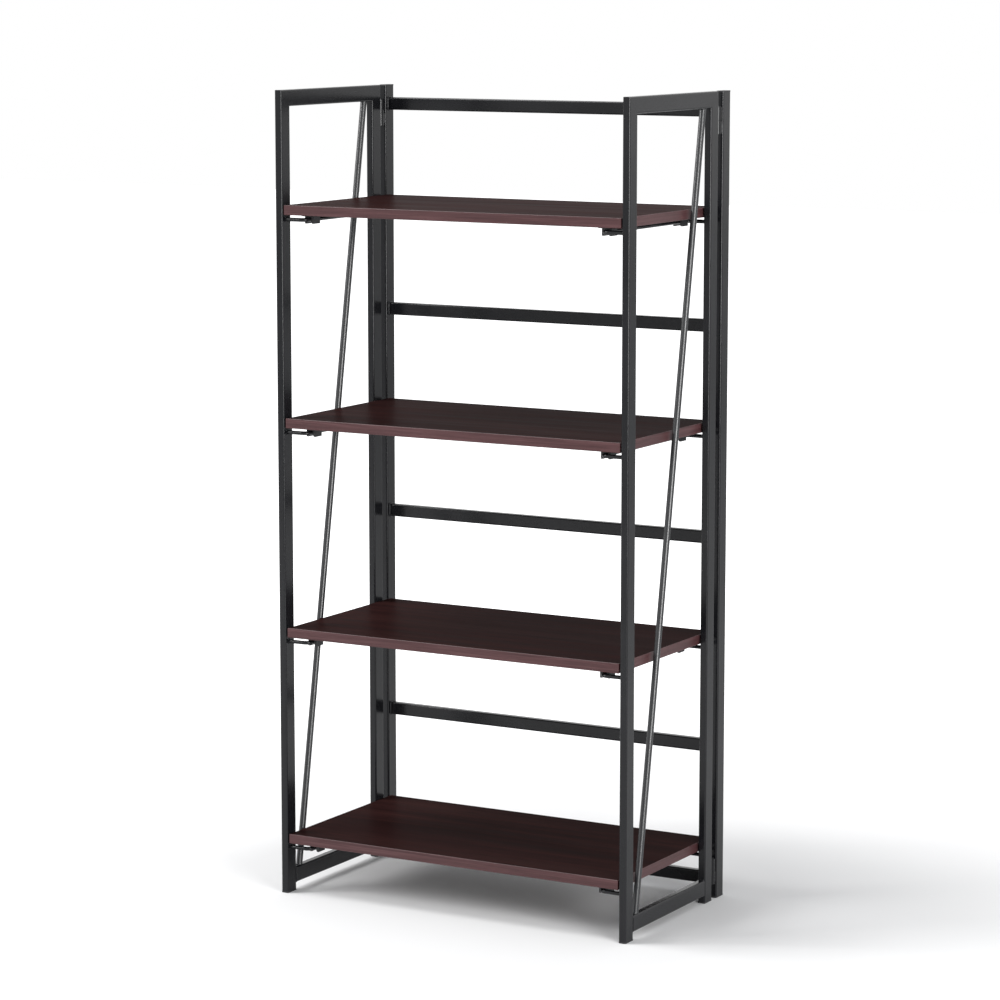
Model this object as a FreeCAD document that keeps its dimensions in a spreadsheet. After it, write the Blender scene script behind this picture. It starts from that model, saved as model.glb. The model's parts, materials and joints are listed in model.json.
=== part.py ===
import FreeCAD, Part
import os
import Sketcher
from FreeCAD import Placement, Rotation, Vector

doc = FreeCAD.newDocument("folding_bookcase")
sheet = doc.addObject("Spreadsheet::Sheet", "sizes")

# Driving dimensions in millimetres. X runs left to right, Y from front to rear, Z up.
# The origin is the middle of the footprint, on the floor.
DIMENSIONS = [
    ("overall_width", 608),
    ("overall_height", 1250),
    ("side_depth", 289),
    ("tube_width", 12),
    ("tube_depth", 25),
    ("tube_wall", 1.2),
    ("tube_radius", 2.5),
    ("side_rail_floor_gap", 12),
    ("brace_diameter", 10),
    ("brace_corner_gap", 17),
    ("hinge_gap", 15),
    ("rear_rail_height", 20),
    ("rear_rail_depth", 12),
    ("rear_rail_above_shelf", 154),
    ("bottom_rear_rail_top", 39),
    ("barrel_diameter", 12),
    ("barrel_height", 20),
    ("barrel_gap", 0.4),
    ("hinge_rib_width", 7),
    ("hinge_end_gap", 24),
    ("pin_diameter", 6),
    ("pin_clearance", 0.05),
    ("pin_head_diameter", 9),
    ("pin_head_height", 1.6),
    ("plug_flange", 2),
    ("plug_insert", 10),
    ("plug_clearance", 0.1),
    ("board_thickness", 15),
    ("board_front_inset", 1.5),
    ("board_rail_gap", 4),
    ("board_end_gap", 2.5),
    ("edging_thickness", 0.8),
    ("edging_chamfer", 0.6),
    ("top_shelf_drop", 174),
    ("bottom_shelf_top", 95),
    ("wire_diameter", 6),
    ("wire_reach", 36),
    ("wire_bend_radius", 9),
    ("wire_edge_inset", 9),
    ("wire_drop", 7),
    ("clip_flange_width", 28),
    ("clip_flange_thickness", 2),
    ("clip_body_width", 16),
    ("clip_height", 13),
    ("clip_length", 18),
    ("clip_mouth_width", 9.5),
    ("clip_wire_clearance", 0.1),
    ("clip_end_distance", 21),
    ("board_rest_gap", 0.3),
    ("cut_overrun", 5),
]

for row, (alias, amount) in enumerate(DIMENSIONS, start=1):
    sheet.set("A%d" % row, alias)
    sheet.set("B%d" % row, str(amount))
    sheet.setAlias("B%d" % row, alias)
doc.recompute()

ALIASES = [alias for alias, amount in DIMENSIONS]
SHELF_COUNT = 4
QUARTER_TURN = 90
HALF_TURN = 180

# Lines that several pieces share, each as a sum of the driving dimensions.
OVERALL_DEPTH = "(side_depth + hinge_gap + tube_depth)"
FRONT_FACE = "(-%s / 2)" % OVERALL_DEPTH
SIDE_MIDDLE = "(%s + side_depth / 2)" % FRONT_FACE
PIN_LINE = "(%s + side_depth + hinge_gap / 2)" % FRONT_FACE
REAR_MIDDLE = "(%s + side_depth + hinge_gap + tube_depth / 2)" % FRONT_FACE
TUBE_LINE = "(overall_width / 2 - tube_width / 2)"
INNER_FACE = "(overall_width / 2 - tube_width)"
BOARD_LENGTH = "(overall_width - 2 * tube_width - 2 * board_end_gap)"
BOARD_DEPTH = ("(side_depth + hinge_gap + tube_depth / 2 - rear_rail_depth / 2"
               " - board_rail_gap - board_front_inset)")
SHELF_SPACING = "((overall_height - top_shelf_drop - bottom_shelf_top) / %d)" % (SHELF_COUNT - 1)
WIRE_SPAN = "(side_depth - 2 * wire_edge_inset)"


def expand(words):
    """Put the sheet's name before every alias in a sum."""
    result = ""
    word = ""
    for letter in words + " ":
        if letter.isalnum() or letter == "_":
            word += letter
            continue
        result += "sizes." + word if word in ALIASES else word
        result += letter
        word = ""
    return result.strip()


def number(words):
    """The present value of a sum."""
    value = sheet.evalExpression(expand(words))
    return float(getattr(value, "Value", value))


def bind(thing, name, words):
    thing.setExpression(name, expand(words))


def place(thing, x, y, z, turn=Rotation()):
    thing.Placement = Placement(Vector(number(x), number(y), number(z)), turn)
    bind(thing, "Placement.Base.x", x)
    bind(thing, "Placement.Base.y", y)
    bind(thing, "Placement.Base.z", z)


def new_body(label):
    body = doc.addObject("PartDesign::Body", label)
    body.Label = label
    body.AllowCompound = True
    return body


def origin_feature(body, role):
    for feature in body.Origin.OriginFeatures:
        if feature.Role == role:
            return feature
    raise ValueError(role)


def new_sketch(body, name, plane):
    sketch = body.newObject("Sketcher::SketchObject", name)
    sketch.AttachmentSupport = [(origin_feature(body, plane), "")]
    sketch.MapMode = "FlatFace"
    return sketch


def pin_point(sketch, curve, end, x, y):
    """Hold one point of a sketch at two bound distances from the sketch's origin."""
    for kind, words in (("DistanceX", x), ("DistanceY", y)):
        if words == "0":
            axis = -2 if kind == "DistanceX" else -1
            sketch.addConstraint(Sketcher.Constraint("PointOnObject", curve, end, axis))
            continue
        held = Sketcher.Constraint(kind, -1, 1, curve, end, number(words))
        index = sketch.addConstraint(held)
        bind(sketch, "Constraints[%d]" % index, words)


def draw_outline(sketch, points):
    """A closed outline of straight lines through points given as pairs of sums."""
    corners = [Vector(number(x), number(y), 0) for x, y in points]
    curves = []
    for index, corner in enumerate(corners):
        following = corners[(index + 1) % len(corners)]
        curves.append(sketch.addGeometry(Part.LineSegment(corner, following), False))
    for index, curve in enumerate(curves):
        following = curves[(index + 1) % len(curves)]
        sketch.addConstraint(Sketcher.Constraint("Coincident", curve, 2, following, 1))
    for curve, (x, y) in zip(curves, points):
        pin_point(sketch, curve, 1, x, y)


def draw_rectangle(sketch, width, depth, x="0", y="0"):
    left = "%s - (%s) / 2" % (x, width)
    right = "%s + (%s) / 2" % (x, width)
    low = "%s - (%s) / 2" % (y, depth)
    high = "%s + (%s) / 2" % (y, depth)
    draw_outline(sketch, [(left, low), (right, low), (right, high), (left, high)])


def draw_cut_rectangle(sketch, width, depth, corner):
    """A rectangle about the sketch's origin whose corners are cut off at 45 degrees."""
    half_width = "(%s) / 2" % width
    half_depth = "(%s) / 2" % depth
    quarter = [(half_width, "%s - %s" % (half_depth, corner)),
               ("%s - %s" % (half_width, corner), half_depth)]
    points = list(quarter)
    points += [("-(%s)" % x, y) for x, y in reversed(quarter)]
    points += [("-(%s)" % x, "-(%s)" % y) for x, y in quarter]
    points += [(x, "-(%s)" % y) for x, y in reversed(quarter)]
    draw_outline(sketch, points)


def draw_circle(sketch, diameter, x="0", y="0"):
    centre = Vector(number(x), number(y), 0)
    ring = Part.Circle(centre, Vector(0, 0, 1), number(diameter) / 2)
    curve = sketch.addGeometry(ring, False)
    index = sketch.addConstraint(Sketcher.Constraint("Diameter", curve, number(diameter)))
    bind(sketch, "Constraints[%d]" % index, diameter)
    pin_point(sketch, curve, 3, x, y)


def pad(body, name, sketch, length, both_ways=False, reverse=False):
    feature = body.newObject("PartDesign::Pad", name)
    feature.Profile = sketch
    feature.Midplane = both_ways
    feature.Reversed = reverse
    feature.Length = number(length)
    bind(feature, "Length", length)
    return feature


def cut_through(body, name, sketch):
    """A pocket through the whole piece, both ways from its sketch."""
    feature = body.newObject("PartDesign::Pocket", name)
    feature.Profile = sketch
    feature.Type = "ThroughAll"
    feature.Midplane = True
    return feature


def long_edges(feature, width, depth):
    """Names of the edges along Z at the corners of a rectangle about the Z axis."""
    names = []
    for index, edge in enumerate(feature.Shape.Edges, start=1):
        start, end = edge.Vertexes[0].Point, edge.Vertexes[-1].Point
        upright = abs(start.x - end.x) < 1e-6 and abs(start.y - end.y) < 1e-6
        at_side = abs(abs(start.x) - number(width) / 2) < 1e-6
        at_front = abs(abs(start.y) - number(depth) / 2) < 1e-6
        if upright and at_side and at_front:
            names.append("Edge%d" % index)
    return names


def round_long_edges(body, name, feature, width, depth, radius):
    doc.recompute()
    rounding = body.newObject("PartDesign::Fillet", name)
    rounding.Base = (feature, long_edges(feature, width, depth))
    rounding.Radius = number(radius)
    bind(rounding, "Radius", radius)
    return rounding


def repeat(body, features, axis, distance):
    """A second copy of the features, a bound distance along one of the body's axes."""
    row = body.newObject("PartDesign::LinearPattern", "pair")
    row.Originals = features
    row.Direction = (origin_feature(body, axis), [""])
    row.Length = number(distance)
    row.Occurrences = 2
    bind(row, "Length", distance)
    body.Tip = row


def make_tube(label, width, depth, length, mitred_ends=()):
    """A rounded hollow tube along Z. A mitred end keeps its full length on the -Y face."""
    body = new_body(label)
    outside = new_sketch(body, "outside", "XY_Plane")
    draw_rectangle(outside, width, depth)
    solid = pad(body, "solid", outside, length)
    round_long_edges(body, "rounding", solid, width, depth, "tube_radius")
    inside = new_sketch(body, "inside", "XY_Plane")
    inner_width = "%s - 2 * tube_wall" % width
    inner_depth = "%s - 2 * tube_wall" % depth
    draw_rectangle(inside, inner_width, inner_depth)
    bore = cut_through(body, "bore", inside)
    inner_radius = "tube_radius - tube_wall"
    round_long_edges(body, "inner_rounding", bore, inner_width, inner_depth, inner_radius)
    far_side = "%s / 2 + cut_overrun" % depth
    near_side = "-%s / 2 - cut_overrun" % depth
    for end in mitred_ends:
        wedge = new_sketch(body, "mitre_" + end, "YZ_Plane")
        if end == "low":
            corners = [(near_side, "-cut_overrun"), (far_side, "-cut_overrun"),
                       (far_side, "%s + cut_overrun" % depth)]
        else:
            corners = [(near_side, "%s + cut_overrun" % length),
                       (far_side, "%s - %s - cut_overrun" % (length, depth)),
                       (far_side, "%s + cut_overrun" % length)]
        draw_outline(wedge, corners)
        cut_through(body, "mitre_cut_" + end, wedge)
    return body


def make_plugs(label, axis, distance):
    """Two moulded tube plugs: a flange below z = 0 and an insert that fills the tube."""
    body = new_body(label)
    flange_outline = new_sketch(body, "flange_outline", "XY_Plane")
    draw_cut_rectangle(flange_outline, "tube_width", "tube_depth", "tube_radius / 2")
    flange = pad(body, "flange", flange_outline, "plug_flange", reverse=True)
    insert_outline = new_sketch(body, "insert_outline", "XY_Plane")
    insert_width = "tube_width - 2 * tube_wall - 2 * plug_clearance"
    insert_depth = "tube_depth - 2 * tube_wall - 2 * plug_clearance"
    draw_cut_rectangle(insert_outline, insert_width, insert_depth, "tube_radius")
    insert = pad(body, "insert", insert_outline, "plug_insert")
    repeat(body, [flange, insert], axis, distance)
    return body


def make_knuckle(label):
    """A hinge barrel along Z with the rib that welds it to the tube on its -Y side."""
    body = new_body(label)
    barrel_outline = new_sketch(body, "barrel_outline", "XY_Plane")
    draw_circle(barrel_outline, "barrel_diameter")
    pad(body, "barrel", barrel_outline, "barrel_height")
    rib_outline = new_sketch(body, "rib_outline", "XY_Plane")
    draw_rectangle(rib_outline, "hinge_rib_width", "hinge_gap / 2", y="-hinge_gap / 4")
    pad(body, "rib", rib_outline, "barrel_height")
    bore_outline = new_sketch(body, "bore_outline", "XY_Plane")
    draw_circle(bore_outline, "pin_diameter + 2 * pin_clearance")
    cut_through(body, "bore", bore_outline)
    return body


def make_pin(label):
    """A headed hinge pin, revolved about Z, its head resting on the upper barrel."""
    body = new_body(label)
    half = new_sketch(body, "half_section", "XZ_Plane")
    length = "2 * barrel_height + barrel_gap"
    head = "2 * barrel_height + barrel_gap + pin_head_height"
    points = [("0", "0"), ("pin_diameter / 2", "0"), ("pin_diameter / 2", length),
              ("pin_head_diameter / 2", length), ("pin_head_diameter / 2", head),
              ("0", head)]
    draw_outline(half, points)
    turned = body.newObject("PartDesign::Revolution", "turned")
    turned.Profile = half
    turned.ReferenceAxis = (half, ["V_Axis"])
    turned.Angle = 2 * HALF_TURN
    return body


def make_wire(label):
    """A U-shaped wire: two legs along X from x = 0, joined by a long run along Y."""
    body = new_body(label)
    path = new_sketch(body, "path", "XY_Plane")
    half = "%s / 2" % WIRE_SPAN
    bend = number("wire_bend_radius")
    reach = number("wire_reach")
    side = number(half)
    legs_end = reach - bend
    run_end = side - bend
    near = path.addGeometry(Part.LineSegment(Vector(0, -side, 0), Vector(legs_end, -side, 0)))
    near_middle = Vector(legs_end + bend * 0.5 ** 0.5, -side + bend - bend * 0.5 ** 0.5, 0)
    near_bend = path.addGeometry(Part.Arc(
        Vector(legs_end, -side, 0), near_middle, Vector(reach, -run_end, 0)))
    run = path.addGeometry(Part.LineSegment(Vector(reach, -run_end, 0), Vector(reach, run_end, 0)))
    far_middle = Vector(near_middle.x, -near_middle.y, 0)
    far_bend = path.addGeometry(Part.Arc(
        Vector(reach, run_end, 0), far_middle, Vector(legs_end, side, 0)))
    far = path.addGeometry(Part.LineSegment(Vector(legs_end, side, 0), Vector(0, side, 0)))
    joints = [(near, 2, near_bend, 1), (near_bend, 2, run, 1), (run, 2, far_bend, 1),
              (far_bend, 2, far, 1)]
    for first, first_end, second, second_end in joints:
        path.addConstraint(Sketcher.Constraint("Tangent", first, first_end, second, second_end))
    path.addConstraint(Sketcher.Constraint("Horizontal", near))
    path.addConstraint(Sketcher.Constraint("Horizontal", far))
    path.addConstraint(Sketcher.Constraint("Vertical", run))
    for curve in (near_bend, far_bend):
        index = path.addConstraint(Sketcher.Constraint("Radius", curve, bend))
        bind(path, "Constraints[%d]" % index, "wire_bend_radius")
    pin_point(path, near, 1, "0", "-%s" % half)
    pin_point(path, far, 2, "0", half)
    index = path.addConstraint(Sketcher.Constraint("DistanceX", -1, 1, run, 1, reach))
    bind(path, "Constraints[%d]" % index, "wire_reach")
    section = new_sketch(body, "section", "YZ_Plane")
    draw_circle(section, "wire_diameter", x="-%s" % half)
    doc.recompute()
    swept = body.newObject("PartDesign::AdditivePipe", "swept")
    swept.Profile = section
    swept.Spine = (path, ["Edge%d" % (index + 1) for index in range(5)])
    return body


def make_clips(label):
    """Two moulded clips on the long run of a wire. z = 0 is the wire's centre line."""
    body = new_body(label)
    outline = new_sketch(body, "outline", "XZ_Plane")
    top = "wire_drop - board_rest_gap"
    shoulder = "%s - clip_flange_thickness" % top
    roof = "wire_diameter / 2 + clip_wire_clearance"
    foot = "%s - clip_height" % top
    # The sketch's X axis runs across the wire and its Y axis runs up.
    half_outline = [("clip_flange_width / 2", top), ("clip_flange_width / 2", shoulder),
                    ("clip_body_width / 2", shoulder), ("clip_body_width / 2", foot),
                    ("clip_mouth_width / 2", foot), (roof, "-wire_diameter / 2"),
                    (roof, roof)]
    other_half = [("-(%s)" % across, up) for across, up in reversed(half_outline)]
    draw_outline(outline, half_outline + other_half)
    clip = pad(body, "clip", outline, "clip_length", both_ways=True)
    repeat(body, [clip], "Y_Axis", "%s - 2 * clip_end_distance" % WIRE_SPAN)
    return body


def make_board(label):
    """The core of a shelf, drawn without its edging, its underside at z = 0."""
    body = new_body(label)
    outline = new_sketch(body, "outline", "XY_Plane")
    core_length = "%s - 2 * edging_thickness" % BOARD_LENGTH
    draw_rectangle(outline, core_length, "%s - 2 * edging_thickness" % BOARD_DEPTH)
    pad(body, "core", outline, "board_thickness")
    return body


def make_edging(label):
    """The laminate band round a shelf, with its outer edges broken by a chamfer."""
    body = new_body(label)
    outside = new_sketch(body, "outside", "XY_Plane")
    draw_rectangle(outside, BOARD_LENGTH, BOARD_DEPTH)
    block = pad(body, "block", outside, "board_thickness")
    doc.recompute()
    rims = []
    for index, edge in enumerate(block.Shape.Edges, start=1):
        start, end = edge.Vertexes[0].Point, edge.Vertexes[-1].Point
        if abs(start.z - end.z) < 1e-6:
            rims.append("Edge%d" % index)
    broken = body.newObject("PartDesign::Chamfer", "broken_edges")
    broken.Base = (block, rims)
    broken.Size = number("edging_chamfer")
    bind(broken, "Size", "edging_chamfer")
    inside = new_sketch(body, "inside", "XY_Plane")
    core_length = "%s - 2 * edging_thickness" % BOARD_LENGTH
    draw_rectangle(inside, core_length, "%s - 2 * edging_thickness" % BOARD_DEPTH)
    cut_through(body, "core_space", inside)
    return body


def make_brace(label):
    """A round rod from the top rail to the bottom rail, cut flush with both."""
    window_depth = "(side_depth - 2 * tube_depth)"
    bottom = "(side_rail_floor_gap + tube_depth)"
    top = "(overall_height - tube_depth)"
    run = "(%s - 2 * brace_corner_gap)" % window_depth
    rise = "(%s - %s)" % (top, bottom)
    length = "sqrt(%s ^ 2 + %s ^ 2)" % (run, rise)
    rod = doc.addObject("Part::Cylinder", label + "_stock")
    rod.Radius = number("brace_diameter / 2")
    rod.Height = number(length + " + 2 * tube_depth")
    bind(rod, "Radius", "brace_diameter / 2")
    bind(rod, "Height", length + " + 2 * tube_depth")
    rod.Placement = Placement(Vector(), Rotation(Vector(-1, 0, 0), 1))
    bind(rod, "Placement.Rotation.Angle", "atan(%s / %s)" % (run, rise))
    bind(rod, "Placement.Base.y", "-%s / 2 - tube_depth * %s / %s" % (run, run, length))
    bind(rod, "Placement.Base.z", "%s - tube_depth * %s / %s" % (bottom, rise, length))
    window = doc.addObject("Part::Box", label + "_window")
    for side, words in (("Length", "tube_width"), ("Width", window_depth), ("Height", rise)):
        setattr(window, side, number(words))
        bind(window, side, words)
    place(window, "-tube_width / 2", "-%s / 2" % window_depth, bottom)
    brace = doc.addObject("Part::Common", label)
    brace.Base = rod
    brace.Tool = window
    brace.Label = label
    return brace


facing_rear = Rotation(Vector(0, 0, 1), HALF_TURN)
along_y = Rotation(Vector(1, 0, 0), -QUARTER_TURN)
along_x = Rotation(Vector(0, 1, 0), QUARTER_TURN)
upside_down = Rotation(Vector(1, 0, 0), HALF_TURN)
nodes = []


def add_side_frame(side, sign):
    """The four tubes, brace and foot plugs of one folding side frame."""
    line = "%s%s" % (sign, TUBE_LINE)
    upright_length = "(overall_height - plug_flange)"
    uprights = [("front", Rotation(), "%s + tube_depth / 2" % FRONT_FACE),
                ("rear", facing_rear, "%s + side_depth - tube_depth / 2" % FRONT_FACE)]
    for end, turn, y in uprights:
        name = "%s_%s_upright" % (side, end)
        upright = make_tube(name, "tube_width", "tube_depth", upright_length, ["high"])
        place(upright, line, y, "plug_flange", turn)
        nodes.append(upright)
    top_rail = make_tube("%s_top_rail" % side, "tube_width", "tube_depth", "side_depth",
                         ["low", "high"])
    place(top_rail, line, FRONT_FACE, "overall_height - tube_depth / 2", along_y)
    bottom_rail = make_tube("%s_bottom_rail" % side, "tube_width", "tube_depth",
                            "(side_depth - 2 * tube_depth)")
    place(bottom_rail, line, "%s + tube_depth" % FRONT_FACE,
          "side_rail_floor_gap + tube_depth / 2", along_y)
    brace = make_brace("%s_brace_rod" % side)
    place(brace, line, SIDE_MIDDLE, "0")
    plugs = make_plugs("%s_foot_plugs" % side, "Y_Axis", "side_depth - tube_depth")
    place(plugs, line, "%s + tube_depth / 2" % FRONT_FACE, "plug_flange")
    nodes.extend([top_rail, bottom_rail, brace, plugs])


def add_rear_frame():
    """Two uprights joined by horizontal rails, with plugs below and caps on top."""
    length = "(overall_height - 2 * plug_flange)"
    for side, sign in (("left", "-"), ("right", "")):
        upright = make_tube("rear_%s_upright" % side, "tube_width", "tube_depth", length)
        place(upright, sign + TUBE_LINE, REAR_MIDDLE, "plug_flange")
        nodes.append(upright)
    tops = ["bottom_shelf_top + %d * %s + rear_rail_above_shelf" % (step, SHELF_SPACING)
            for step in reversed(range(SHELF_COUNT))]
    tops.append("bottom_rear_rail_top")
    for index, top in enumerate(tops, start=1):
        rail = make_tube("rear_rail_%d" % index, "rear_rail_height", "rear_rail_depth",
                         "(overall_width - 2 * tube_width)")
        place(rail, "-" + INNER_FACE, REAR_MIDDLE, "%s - rear_rail_height / 2" % top, along_x)
        nodes.append(rail)
    distance = "overall_width - tube_width"
    feet = make_plugs("rear_foot_plugs", "X_Axis", distance)
    place(feet, "-" + TUBE_LINE, REAR_MIDDLE, "plug_flange")
    caps = make_plugs("rear_top_caps", "X_Axis", distance)
    place(caps, "-" + TUBE_LINE, REAR_MIDDLE, "overall_height - plug_flange", upside_down)
    nodes.extend([feet, caps])


def add_hinges(side, sign):
    """Upper and lower barrel hinge of one side frame: two barrels and a pin each."""
    line = "%s%s" % (sign, TUBE_LINE)
    height = "(2 * barrel_height + barrel_gap)"
    levels = [("top", "(overall_height - hinge_end_gap - %s)" % height),
              ("bottom", "hinge_end_gap")]
    for level, base in levels:
        fixed = make_knuckle("%s_%s_hinge_rear_barrel" % (side, level))
        place(fixed, line, PIN_LINE, base, facing_rear)
        moving = make_knuckle("%s_%s_hinge_side_barrel" % (side, level))
        place(moving, line, PIN_LINE, "%s + barrel_height + barrel_gap" % base)
        pin = make_pin("%s_%s_hinge_pin" % (side, level))
        place(pin, line, PIN_LINE, base)
        nodes.extend([fixed, moving, pin])


def add_shelf(index):
    """One board with its edging, and the wire and clips that carry it on each side."""
    top = "bottom_shelf_top + %d * %s" % (SHELF_COUNT - index, SHELF_SPACING)
    underside = "%s - board_thickness" % top
    middle = "%s + board_front_inset + %s / 2" % (FRONT_FACE, BOARD_DEPTH)
    board = make_board("shelf_%d_board" % index)
    edging = make_edging("shelf_%d_edging" % index)
    for piece in (board, edging):
        place(piece, "0", middle, underside)
        nodes.append(piece)
    for side, sign, turn in (("left", "-", Rotation()), ("right", "", facing_rear)):
        wire = make_wire("%s_shelf_wire_%d" % (side, index))
        place(wire, sign + INNER_FACE, SIDE_MIDDLE, "%s - wire_drop" % underside, turn)
        clips = make_clips("%s_shelf_clips_%d" % (side, index))
        run_line = "%s(%s - wire_reach)" % (sign, INNER_FACE)
        first_clip = "%s + wire_edge_inset + clip_end_distance" % FRONT_FACE
        place(clips, run_line, first_clip, "%s - wire_drop" % underside)
        nodes.extend([wire, clips])


add_rear_frame()
for side_name, side_sign in (("left", "-"), ("right", "")):
    add_side_frame(side_name, side_sign)
    add_hinges(side_name, side_sign)
for shelf_index in range(1, SHELF_COUNT + 1):
    add_shelf(shelf_index)

doc.recompute()
for item in doc.Objects:
    if "Invalid" in item.State or "Error" in item.State:
        raise RuntimeError("%s failed: %s" % (item.Label, item.State))
for node in nodes:
    if node.Shape.isNull() or not node.Shape.isValid():
        raise RuntimeError("%s has no valid shape" % node.Label)

os.makedirs("parts", exist_ok=True)
for node in nodes:
    node.Shape.exportStep("parts/%s.step" % node.Label)
print("%d nodes written" % len(nodes))
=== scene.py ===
import json
import math

import bpy
import numpy as np
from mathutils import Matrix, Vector


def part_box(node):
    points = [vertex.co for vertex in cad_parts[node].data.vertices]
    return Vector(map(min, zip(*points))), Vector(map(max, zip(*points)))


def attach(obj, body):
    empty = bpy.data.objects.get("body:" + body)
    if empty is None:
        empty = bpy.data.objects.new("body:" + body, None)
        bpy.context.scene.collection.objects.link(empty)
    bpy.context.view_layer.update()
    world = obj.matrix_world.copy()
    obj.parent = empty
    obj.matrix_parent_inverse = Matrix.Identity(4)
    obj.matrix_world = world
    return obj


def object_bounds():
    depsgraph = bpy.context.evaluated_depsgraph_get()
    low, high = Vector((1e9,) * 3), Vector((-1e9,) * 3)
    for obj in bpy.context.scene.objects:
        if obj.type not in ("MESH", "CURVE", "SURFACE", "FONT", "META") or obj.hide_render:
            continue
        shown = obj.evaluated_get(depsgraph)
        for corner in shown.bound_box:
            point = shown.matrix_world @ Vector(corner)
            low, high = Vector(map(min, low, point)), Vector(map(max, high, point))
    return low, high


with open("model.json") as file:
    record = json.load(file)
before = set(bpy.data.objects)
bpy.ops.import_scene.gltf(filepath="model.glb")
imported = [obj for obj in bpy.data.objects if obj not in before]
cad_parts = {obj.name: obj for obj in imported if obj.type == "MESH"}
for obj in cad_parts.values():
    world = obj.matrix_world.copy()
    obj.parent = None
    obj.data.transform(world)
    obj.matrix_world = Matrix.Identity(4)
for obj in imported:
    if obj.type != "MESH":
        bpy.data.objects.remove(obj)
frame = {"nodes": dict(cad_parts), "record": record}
cadLow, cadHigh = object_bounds()
nodes = frame["nodes"]
print("frame loaded:", len(nodes), "nodes")


# The camera stands to the right of the bookcase and a little above it, with a long lens.

cameraValues = {
    "place": (2.6640, -4.6912, 1.4281),
    "turnDegrees": 29.626,
    "tiltDegrees": 8.491,
    "focalPixels": 3542.3,
    "imagePixels": 1000.0,
    "sensorMm": 36.0,
    "farthest": 60.0,
}


def addCamera(values):
    # The lens is the focal length in pixels over the picture's width, times the sensor's width.
    # Turned by 90 degrees about X the camera looks level, and the tilt takes it down from there.
    data = bpy.data.cameras.new("camera")
    data.sensor_fit = "HORIZONTAL"
    data.sensor_width = values["sensorMm"]
    data.lens = values["focalPixels"] / values["imagePixels"] * values["sensorMm"]
    data.clip_end = values["farthest"]
    camera = bpy.data.objects.new("camera", data)
    camera.location = values["place"]
    tilt = math.radians(90.0 - values["tiltDegrees"])
    camera.rotation_euler = (tilt, 0.0, math.radians(values["turnDegrees"]))
    bpy.context.scene.collection.objects.link(camera)
    bpy.context.scene.camera = camera


addCamera(cameraValues)
print("camera placed")


# Materials. Every pattern reads Object coordinates, in metres.

class Shading:
    # one material and a short way to write its nodes

    def __init__(self, name):
        self.material = bpy.data.materials.new(name)
        self.material.use_nodes = True
        self.tree = self.material.node_tree
        self.surface = self.tree.nodes["Principled BSDF"]
        coordinates = self.tree.nodes.new("ShaderNodeTexCoord")
        self.place = coordinates.outputs["Object"]

    def link(self, start, end):
        self.tree.links.new(start, end)

    def stretched(self, scale):
        # Object coordinates, scaled differently along X, Y and Z
        mapping = self.tree.nodes.new("ShaderNodeMapping")
        mapping.inputs["Scale"].default_value = scale
        self.link(self.place, mapping.inputs["Vector"])
        return mapping.outputs["Vector"]

    def noise(self, vector, scale=1.0, detail=2.0, roughness=0.55, distortion=0.0):
        node = self.tree.nodes.new("ShaderNodeTexNoise")
        node.inputs["Scale"].default_value = scale
        node.inputs["Detail"].default_value = detail
        node.inputs["Roughness"].default_value = roughness
        node.inputs["Distortion"].default_value = distortion
        self.link(vector, node.inputs["Vector"])
        return node.outputs["Fac"]

    def ramp(self, factor, places, colours):
        node = self.tree.nodes.new("ShaderNodeValToRGB")
        elements = node.color_ramp.elements
        while len(elements) < len(places):
            elements.new(places[1])
        for element, position, colour in zip(elements, places, colours):
            element.position = position
            element.color = (*colour, 1.0)
        self.link(factor, node.inputs["Fac"])
        return node.outputs["Color"]

    def levels(self, factor, old, new):
        # the range old, as (low, high), carried over to the range new
        node = self.tree.nodes.new("ShaderNodeMapRange")
        node.inputs["From Min"].default_value, node.inputs["From Max"].default_value = old
        node.inputs["To Min"].default_value, node.inputs["To Max"].default_value = new
        self.link(factor, node.inputs["Value"])
        return node.outputs["Result"]

    def mix(self, factor, first, second):
        node = self.tree.nodes.new("ShaderNodeMix")
        node.data_type = "RGBA"
        colourInputs = [socket for socket in node.inputs if socket.type == "RGBA"]
        colourOutput = [socket for socket in node.outputs if socket.type == "RGBA"][0]
        for socket, value in zip([node.inputs["Factor"], *colourInputs], (factor, first, second)):
            if isinstance(value, float):
                socket.default_value = value
            elif isinstance(value, tuple):
                socket.default_value = (*value, 1.0)
            else:
                self.link(value, socket)
        return colourOutput

    def bump(self, height, strength, distance):
        node = self.tree.nodes.new("ShaderNodeBump")
        node.inputs["Strength"].default_value = strength
        node.inputs["Distance"].default_value = distance
        self.link(height, node.inputs["Height"])
        self.link(node.outputs["Normal"], self.surface.inputs["Normal"])


coatValues = {
    "dark": (0.0055, 0.0057, 0.0068),
    "light": (0.0095, 0.0098, 0.0115),
    "specular": 0.3,
    "cloudScale": 9.0,
    "cloudDetail": 3.0,
    "cloudRange": (0.35, 0.68),
    "grainScale": 2600.0,
    "grainDetail": 2.0,
    "grainRange": (0.3, 0.7),
    "roughness": (0.16, 0.22),
    "grainStrength": 0.35,
    "grainHeight": 0.00006,
}


def powderCoat(name, values):
    # satin black powder coat: a fine orange peel and a slow drift of tone
    shade = Shading(name)
    cloud = shade.noise(shade.place, values["cloudScale"], values["cloudDetail"])
    grain = shade.noise(shade.place, values["grainScale"], values["grainDetail"])
    colour = shade.ramp(cloud, values["cloudRange"], (values["dark"], values["light"]))
    shade.link(colour, shade.surface.inputs["Base Color"])
    rough = shade.levels(grain, values["grainRange"], values["roughness"])
    shade.link(rough, shade.surface.inputs["Roughness"])
    shade.surface.inputs["Specular IOR Level"].default_value = values["specular"]
    shade.bump(grain, values["grainStrength"], values["grainHeight"])
    return shade.material


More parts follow.
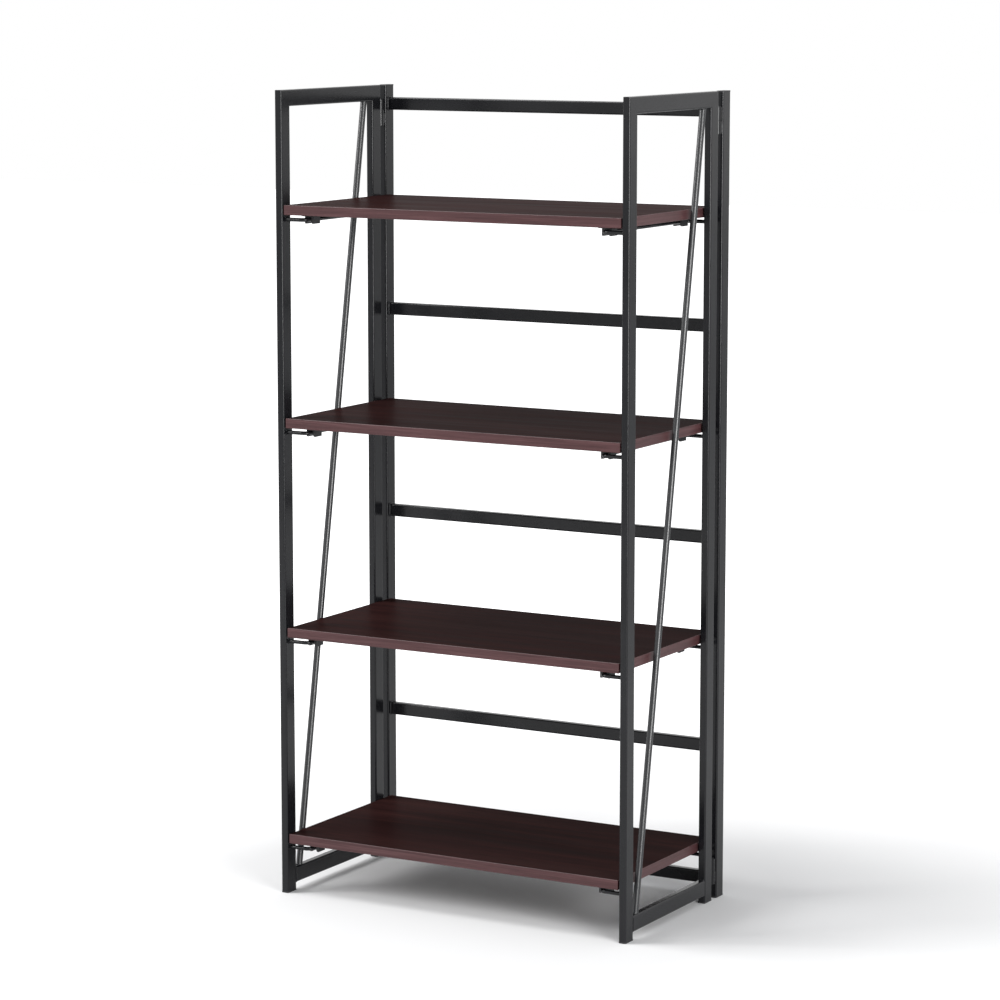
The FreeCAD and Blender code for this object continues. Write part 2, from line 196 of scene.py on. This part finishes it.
plasticValues = {
    "dark": (0.010, 0.010, 0.011),
    "light": (0.018, 0.018, 0.020),
    "toneRange": (0.35, 0.7),
    "textureScale": 1500.0,
    "textureDetail": 2.0,
    "textureRange": (0.3, 0.7),
    "roughness": (0.45, 0.62),
    "textureStrength": 0.4,
    "textureHeight": 0.00008,
}


def mouldedPlastic(name, values):
    # matt black moulded plastic with a fine spark-eroded texture
    shade = Shading(name)
    texture = shade.noise(shade.place, values["textureScale"], values["textureDetail"])
    colour = shade.ramp(texture, values["toneRange"], (values["dark"], values["light"]))
    shade.link(colour, shade.surface.inputs["Base Color"])
    rough = shade.levels(texture, values["textureRange"], values["roughness"])
    shade.link(rough, shade.surface.inputs["Roughness"])
    shade.bump(texture, values["textureStrength"], values["textureHeight"])
    return shade.material


laminateValues = {
    "tones": ((0.0110, 0.0050, 0.0048), (0.0240, 0.0095, 0.0092), (0.0460, 0.0185, 0.0165)),
    "toneRange": (0.30, 0.52, 0.74),
    "specular": 0.001,
    "bandScale": (1.1, 14.0, 14.0),
    "band": {"detail": 3.0, "roughness": 0.5, "distortion": 0.6},
    "figureScale": (2.2, 55.0, 55.0),
    "figure": {"detail": 6.0, "roughness": 0.65, "distortion": 0.25},
    "figureShare": 0.55,
    "figureRange": (0.3, 0.7),
    "roughness": (0.34, 0.46),
    "poreScale": (14.0, 620.0, 620.0),
    "pore": {"detail": 2.0, "roughness": 0.5},
    "poreColour": (0.007, 0.0045, 0.0045),
    "poreRange": (0.60, 0.70),
    "poreCover": (0.0, 0.75),
    "poreStrength": 0.25,
    "poreHeight": 0.00007,
}


def boardLaminate(name, values):
    # dark wood-grain laminate: wide bands, finer figure and short pores, all along X
    shade = Shading(name)
    band = shade.noise(shade.stretched(values["bandScale"]), **values["band"])
    figure = shade.noise(shade.stretched(values["figureScale"]), **values["figure"])
    broad = shade.ramp(band, values["toneRange"], values["tones"])
    fine = shade.ramp(figure, values["toneRange"], values["tones"])
    wood = shade.mix(values["figureShare"], broad, fine)
    pores = shade.noise(shade.stretched(values["poreScale"]), **values["pore"])
    poreMask = shade.levels(pores, values["poreRange"], values["poreCover"])
    colour = shade.mix(poreMask, wood, values["poreColour"])
    shade.link(colour, shade.surface.inputs["Base Color"])
    shade.surface.inputs["Specular IOR Level"].default_value = values["specular"]
    rough = shade.levels(figure, values["figureRange"], values["roughness"])
    shade.link(rough, shade.surface.inputs["Roughness"])
    shade.bump(pores, values["poreStrength"], values["poreHeight"])
    return shade.material


edgingValues = {
    "tones": ((0.034, 0.0130, 0.0140), (0.064, 0.0260, 0.0275), (0.110, 0.0520, 0.0540)),
    "toneRange": (0.30, 0.50, 0.72),
    "specular": 0.3,
    "roughness": 0.38,
    "lineScale": (6.0, 6.0, 700.0),
    "line": {"detail": 4.0, "roughness": 0.6, "distortion": 0.2},
    "flameScale": (9.0, 9.0, 160.0),
    "flame": {"detail": 4.0, "roughness": 0.6, "distortion": 0.5},
    "flameShare": 0.5,
    "lineStrength": 0.2,
    "lineHeight": 0.00005,
}


def boardEdging(name, values):
    # reddish brown edge band with thin grain lines that run round the board
    shade = Shading(name)
    line = shade.noise(shade.stretched(values["lineScale"]), **values["line"])
    flame = shade.noise(shade.stretched(values["flameScale"]), **values["flame"])
    thin = shade.ramp(line, values["toneRange"], values["tones"])
    wide = shade.ramp(flame, values["toneRange"], values["tones"])
    colour = shade.mix(values["flameShare"], thin, wide)
    shade.link(colour, shade.surface.inputs["Base Color"])
    shade.surface.inputs["Roughness"].default_value = values["roughness"]
    shade.surface.inputs["Specular IOR Level"].default_value = values["specular"]
    shade.bump(line, values["lineStrength"], values["lineHeight"])
    return shade.material


# the welds carry a lighter coat colour as a painted highlight, and the thin brace rods a glossier coat
# whose lighter colour is a painted highlight too

weldCoatPaintedHighlightValues = dict(coatValues, dark=(0.012, 0.0125, 0.014), light=(0.022, 0.023, 0.026))
braceCoatPaintedHighlightValues = dict(coatValues, dark=(0.014, 0.0145, 0.016), light=(0.022, 0.023, 0.025),
                       specular=0.6, roughness=(0.20, 0.30))

materials = {
    "frame_coat": powderCoat("blackPowderCoat", coatValues),
    "hinge_steel": powderCoat("coatedHingePin", coatValues),
    "black_plastic": mouldedPlastic("blackMouldedPlastic", plasticValues),
    "shelf_laminate": boardLaminate("espressoLaminate", laminateValues),
    "shelf_edging": boardEdging("reddishEdgeBand", edgingValues),
}
# the weld coat's lighter colour is a painted highlight on the weld beads
weldPaintedHighlightMaterial = powderCoat("weldCoatPaintedHighlight", weldCoatPaintedHighlightValues)
# the brace coat is glossier for real, and its lighter colour is a painted highlight
bracePaintedHighlightMaterial = powderCoat("glossierBraceCoatPaintedHighlight", braceCoatPaintedHighlightValues)

for part in frame["record"]["subparts"]:
    slots = nodes[part["node"]].data.materials
    slots.clear()
    isBrace = part["node"].endswith("brace_rod")
    slots.append(bracePaintedHighlightMaterial if isBrace else materials[part["material_slot"]])
print("materials made")


# Weld beads: small rippled ridges where rails, wires, rods and hinge barrels meet the tubes.

weldValues = {
    "rearRails": 5,
    "wiresOnSide": 4,
    "railRadius": 0.0015,
    "wireRadius": 0.0012,
    "braceRadius": 0.0014,
    "hingeRadius": 0.0012,
    "wireReachShare": 0.7,  # half length of a bead across a wire, over the wire's radius
    "braceReachShare": 0.6,  # the same across a brace rod
    "hingeSpread": 0.0036,  # from the middle of a barrel to the bead on either side of it
    "hingeEnd": 0.001,  # left bare at each end of a barrel
    "rings": 24,
    "ringPoints": 10,
    "rippleLength": 0.0022,
    "rippleShare": 0.14,
    "slantDirection": (0.31, 0.52, 0.79),  # any direction that no bead runs along
}


def beadPoints(start, end, radius, values):
    # A tube from start to end, with s running from -1 to 1 along it and an angle round it. Its
    # radius is the given one times the fourth root of one less s to the fourth, so that both ends
    # close, and a cosine along the bead swells and shrinks it by the ripple's share.
    start, end = np.array(start), np.array(end)
    run = end - start
    length = np.linalg.norm(run)
    along = run / length
    side = np.cross(along, values["slantDirection"])
    side /= np.linalg.norm(side)
    other = np.cross(along, side)
    s = np.sin(np.linspace(-math.pi / 2, math.pi / 2, values["rings"] + 2))[1:-1]
    angle = np.linspace(0.0, 2 * math.pi, values["ringPoints"], endpoint=False)
    ripple = np.cos(math.pi * s * length / values["rippleLength"])
    size = radius * (1 - s ** 4) ** 0.25 * (1 + values["rippleShare"] * ripple)
    middle = (start + end) / 2 + np.outer(s, run / 2)
    ring = np.outer(np.cos(angle), side) + np.outer(np.sin(angle), other)
    tube = middle[:, None, :] + size[:, None, None] * ring[None, :, :]
    return np.vstack([start[None, :], tube.reshape(-1, 3), end[None, :]])


def beadFaces(values):
    # corner numbers of one bead: quads between the rings, and a fan of triangles at each end
    rings, count = values["rings"], values["ringPoints"]
    here = np.arange(rings * count).reshape(rings, count) + 1
    beside = np.roll(here, -1, axis=1)
    quads = np.stack([here[:-1], beside[:-1], beside[1:], here[1:]], axis=-1).reshape(-1, 4)
    firstFan = np.stack([np.zeros(count, int), beside[0], here[0]], axis=-1)
    lastFan = np.stack([np.full(count, rings * count + 1), here[-1], beside[-1]], axis=-1)
    return quads, np.vstack([firstFan, lastFan])


def addBeads(name, beads, body, values):
    # one mesh for all the beads of a body, each bead as (start, end, radius)
    quads, fans = beadFaces(values)
    points = np.stack([beadPoints(*bead, values) for bead in beads])
    polygons = []
    for offset in np.arange(len(beads)) * points.shape[1]:
        polygons += (quads + offset).tolist() + (fans + offset).tolist()
    mesh = bpy.data.meshes.new(name)
    mesh.from_pydata(points.reshape(-1, 3).tolist(), [], polygons)
    mesh.polygons.foreach_set("use_smooth", np.ones(len(polygons), bool))
    mesh.materials.append(weldPaintedHighlightMaterial)
    piece = bpy.data.objects.new(name, mesh)
    bpy.context.scene.collection.objects.link(piece)
    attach(piece, body)


def railBeads(low, high, x, radius):
    # four beads round the end of a rail that meets an upright's face at one X
    corners = [(low.y, low.z), (high.y, low.z), (high.y, high.z), (low.y, high.z)]
    nextCorners = corners[1:] + corners[:1]
    return [((x, *here), (x, *there), radius) for here, there in zip(corners, nextCorners)]


def bottomRailBeads(side, innerX, values):
    # above and below both ends of the bottom rail, and up its inner edges
    low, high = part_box("%s_bottom_rail" % side)
    margin = values["railRadius"]
    beads = []
    for y in (low.y, high.y):
        for z in (low.z, high.z):
            beads.append(((low.x + margin, y, z), (high.x - margin, y, z), values["railRadius"]))
        beads.append(((innerX, y, low.z), (innerX, y, high.z), values["wireRadius"]))
    return beads


def wireBeads(side, number, innerX, values):
    # above and below both ends of a shelf wire
    low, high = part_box("%s_shelf_wire_%d" % (side, number))
    wire = (high.z - low.z) / 2
    reach = wire * values["wireReachShare"]
    beads = []
    for y in (low.y + wire, high.y - wire):
        for z in (low.z, high.z):
            beads.append(((innerX, y - reach, z), (innerX, y + reach, z), values["wireRadius"]))
    return beads


def braceBeads(side, values):
    # before and behind both ends of a brace rod
    low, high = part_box("%s_brace_rod" % side)
    rod = (high.x - low.x) / 2
    middle = (low.x + high.x) / 2
    reach = rod * values["braceReachShare"]
    beads = []
    for y, z in ((low.y + rod, low.z), (high.y - rod, high.z)):
        for edge in (y - rod, y + rod):
            beads.append(((middle - reach, edge, z), (middle + reach, edge, z), values["braceRadius"]))
    return beads


def barrelBeads(node, atRear, values):
    # down both sides of a hinge barrel, where it touches its upright
    low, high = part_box(node)
    y = high.y if atRear else low.y
    middle = (low.x + high.x) / 2
    bottom, top = low.z + values["hingeEnd"], high.z - values["hingeEnd"]
    spread = values["hingeSpread"]
    beads = []
    for x in (middle - spread, middle + spread):
        beads.append(((x, y, bottom), (x, y, top), values["hingeRadius"]))
    return beads


rearBeads = []
for number in range(1, weldValues["rearRails"] + 1):
    low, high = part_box("rear_rail_%d" % number)
    for x in (low.x, high.x):
        rearBeads += railBeads(low, high, x, weldValues["railRadius"])

for side in ("left", "right"):
    low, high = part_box("%s_bottom_rail" % side)
    innerX = high.x if side == "left" else low.x
    sideBeads = bottomRailBeads(side, innerX, weldValues)
    for number in range(1, weldValues["wiresOnSide"] + 1):
        sideBeads += wireBeads(side, number, innerX, weldValues)
    sideBeads += braceBeads(side, weldValues)
    for level in ("top", "bottom"):
        rearBeads += barrelBeads("%s_%s_hinge_rear_barrel" % (side, level), True, weldValues)
        sideBeads += barrelBeads("%s_%s_hinge_side_barrel" % (side, level), False, weldValues)
    addBeads("%sSideWelds" % side, sideBeads, "%s_side_frame" % side, weldValues)
addBeads("rearFrameWelds", rearBeads, "rear_frame", weldValues)
print("weld beads made")


# Floor, white surroundings and lamps.

floorValues = {
    "width": 30.0,
    "drop": 0.0002,  # just under the feet
    "colours": ((0.8865, 0.8865, 0.8865), (0.90, 0.90, 0.90)),
    "cloudScale": 1.5,
    "cloudDetail": 2.0,
    "cloudRange": (0.3, 0.7),
    "roughness": 0.85,
    "fadeRange": (0.45, 2.2),  # distance from the middle of the bookcase, in metres
    "fadeStrength": (0.0, 0.9),
    "fadeColour": (1.0, 1.0, 1.0),
}


def addFloor(values):
    # a flat square that the camera sees fade to white away from the bookcase
    half = values["width"] / 2
    corners = [(-half, -half, 0), (half, -half, 0), (half, half, 0), (-half, half, 0)]
    mesh = bpy.data.meshes.new("floor")
    mesh.from_pydata(corners, [], [(0, 1, 2, 3)])
    floor = bpy.data.objects.new("floor", mesh)
    floor.location.z = -values["drop"]
    bpy.context.scene.collection.objects.link(floor)
    shade = Shading("paleFloor")
    cloud = shade.noise(shade.place, values["cloudScale"], values["cloudDetail"])
    colour = shade.ramp(cloud, values["cloudRange"], values["colours"])
    shade.link(colour, shade.surface.inputs["Base Color"])
    shade.surface.inputs["Roughness"].default_value = values["roughness"]
    distance = shade.tree.nodes.new("ShaderNodeVectorMath")
    distance.operation = "LENGTH"
    shade.link(shade.place, distance.inputs[0])
    fade = shade.levels(distance.outputs["Value"], values["fadeRange"], values["fadeStrength"])
    path = shade.tree.nodes.new("ShaderNodeLightPath")
    seen = shade.tree.nodes.new("ShaderNodeMath")
    seen.operation = "MULTIPLY"
    shade.link(fade, seen.inputs[0])
    shade.link(path.outputs["Is Camera Ray"], seen.inputs[1])
    shade.surface.inputs["Emission Color"].default_value = (*values["fadeColour"], 1.0)
    shade.link(seen.outputs[0], shade.surface.inputs["Emission Strength"])
    mesh.materials.append(shade.material)


worldValues = {
    "lightColour": (0.93, 0.94, 0.96),
    "lightStrength": 0.55,
    "seenColour": (1.0, 1.0, 1.0),
    "seenStrength": 1.0,
}


def addWorld(values):
    # even pale light; the camera and clear or mirrored rays see plain white
    world = bpy.data.worlds.new("studio")
    bpy.context.scene.world = world
    world.use_nodes = True
    tree = world.node_tree
    tree.nodes.clear()
    path = tree.nodes.new("ShaderNodeLightPath")
    seen = path.outputs["Is Camera Ray"]
    for ray in ("Is Transmission Ray", "Is Glossy Ray"):
        either = tree.nodes.new("ShaderNodeMath")
        either.operation = "MAXIMUM"
        tree.links.new(seen, either.inputs[0])
        tree.links.new(path.outputs[ray], either.inputs[1])
        seen = either.outputs[0]
    mix = tree.nodes.new("ShaderNodeMixShader")
    tree.links.new(seen, mix.inputs[0])
    for socket, kind in ((mix.inputs[1], "light"), (mix.inputs[2], "seen")):
        background = tree.nodes.new("ShaderNodeBackground")
        background.inputs["Color"].default_value = (*values[kind + "Colour"], 1.0)
        background.inputs["Strength"].default_value = values[kind + "Strength"]
        tree.links.new(background.outputs[0], socket)
    output = tree.nodes.new("ShaderNodeOutputWorld")
    tree.links.new(mix.outputs[0], output.inputs["Surface"])


lampValues = [
    {"name": "keyLamp", "place": (-3.9, -3.0, 3.2), "size": 2.0, "watts": 150.0},
    {"name": "sideLamp", "place": (3.9, -2.3, 1.2), "size": 2.0, "watts": 150.0},
    {"name": "topLamp", "place": (-2.0, -0.75, 4.0), "size": 1.6, "watts": 70.0},
]


def addLamp(values):
    # a square soft lamp that faces the middle of the bookcase
    data = bpy.data.lights.new(values["name"], "AREA")
    data.size = values["size"]
    data.energy = values["watts"]
    lamp = bpy.data.objects.new(values["name"], data)
    lamp.location = values["place"]
    target = Vector((0.0, 0.0, (cadLow.z + cadHigh.z) / 2))
    lamp.rotation_euler = (target - lamp.location).to_track_quat("-Z", "Y").to_euler()
    bpy.context.scene.collection.objects.link(lamp)


addFloor(floorValues)
addWorld(worldValues)
for lamp in lampValues:
    addLamp(lamp)
bpy.context.scene.view_settings.view_transform = "Standard"
print("stage lit")
